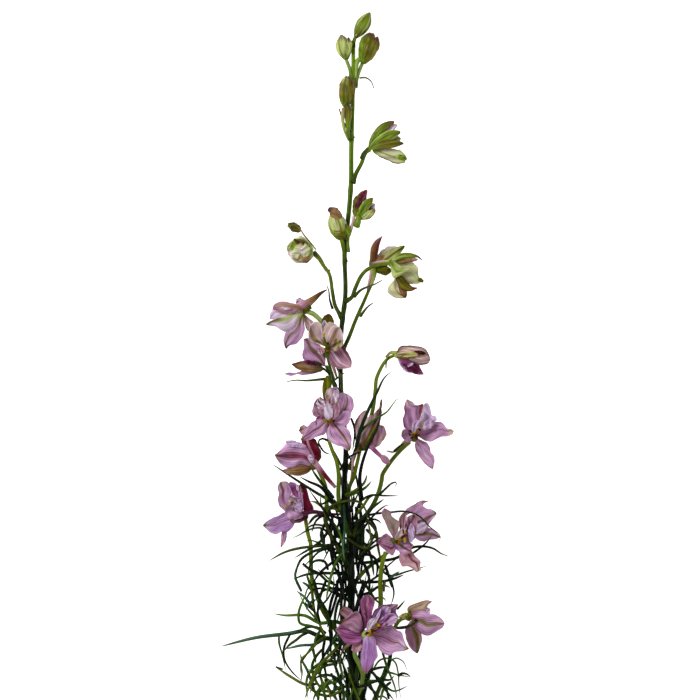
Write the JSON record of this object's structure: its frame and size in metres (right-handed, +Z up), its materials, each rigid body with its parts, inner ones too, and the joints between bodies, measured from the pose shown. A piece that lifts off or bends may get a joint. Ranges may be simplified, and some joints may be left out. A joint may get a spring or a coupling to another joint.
{
  "type": "larkspur flower",
  "caption": "Cut larkspur spike lying down: a tapering stem with buds at the tip, spurred pink and cream flowers on curved stalks, and thread-like leaves",
  "frame": {"origin": "centre of the bounding box seen from above, on the surface that the flower lies on", "axes": "+Y runs along the stem from the cut end to the tip, +X is to the right of the stem as seen from above, +Z is up from the surface"},
  "size_m": [0.1168, 0.3676, 0.0411],
  "materials": {
    "stem": "fresh green stem, darker towards the cut end, satin, faintly ridged",
    "stalk": "light olive green flower stalk, satin",
    "bud": "olive green bud flushed maroon at the tips, satin",
    "sepals": "thin lilac to magenta petal tissue with green midribs and tips, soft sheen",
    "petals": "thin cream and pale pink petal tissue, soft sheen",
    "leaf": "dark green thread-like leaf, matt"
  },
  "bodies": {
    "root": {"bud_01": "bud", "bud_02": "bud", "bud_03": "bud", "bud_04": "bud", "bud_05": "bud", "bud_06": "bud", "bud_07": "bud", "bud_08": "bud", "leaf_1": "leaf", "leaf_2": "leaf", "leaf_3": "leaf", "leaf_4": "leaf", "leaf_5": "leaf", "leaf_6": "leaf", "leaf_7": "leaf", "leaf_8": "leaf", "leaf_9": "leaf", "main_stem": "stem", "petals_12": "petals", "petals_14": "petals", "petals_16": "petals", "petals_18": "petals", "petals_19": "petals", "petals_21": "petals", "sepals_09": "sepals", "sepals_10": "sepals", "sepals_11": "sepals", "sepals_12": "sepals", "sepals_13": "sepals", "sepals_14": "sepals", "sepals_15": "sepals", "sepals_16": "sepals", "sepals_17": "sepals", "sepals_18": "sepals", "sepals_19": "sepals", "sepals_20": "sepals", "sepals_21": "sepals", "sepals_22": "sepals", "stalk_01": "stalk", "stalk_02": "stalk", "stalk_03": "stalk", "stalk_04": "stalk", "stalk_05": "stalk", "stalk_06": "stalk", "stalk_07": "stalk", "stalk_08": "stalk", "stalk_09": "stalk", "stalk_10": "stalk", "stalk_11": "stalk", "stalk_12": "stalk", "stalk_13": "stalk", "stalk_14": "stalk", "stalk_15": "stalk", "stalk_16": "stalk", "stalk_17": "stalk", "stalk_18": "stalk", "stalk_19": "stalk", "stalk_20": "stalk", "stalk_21": "stalk", "stalk_22": "stalk"}
  },
  "joints": []
}
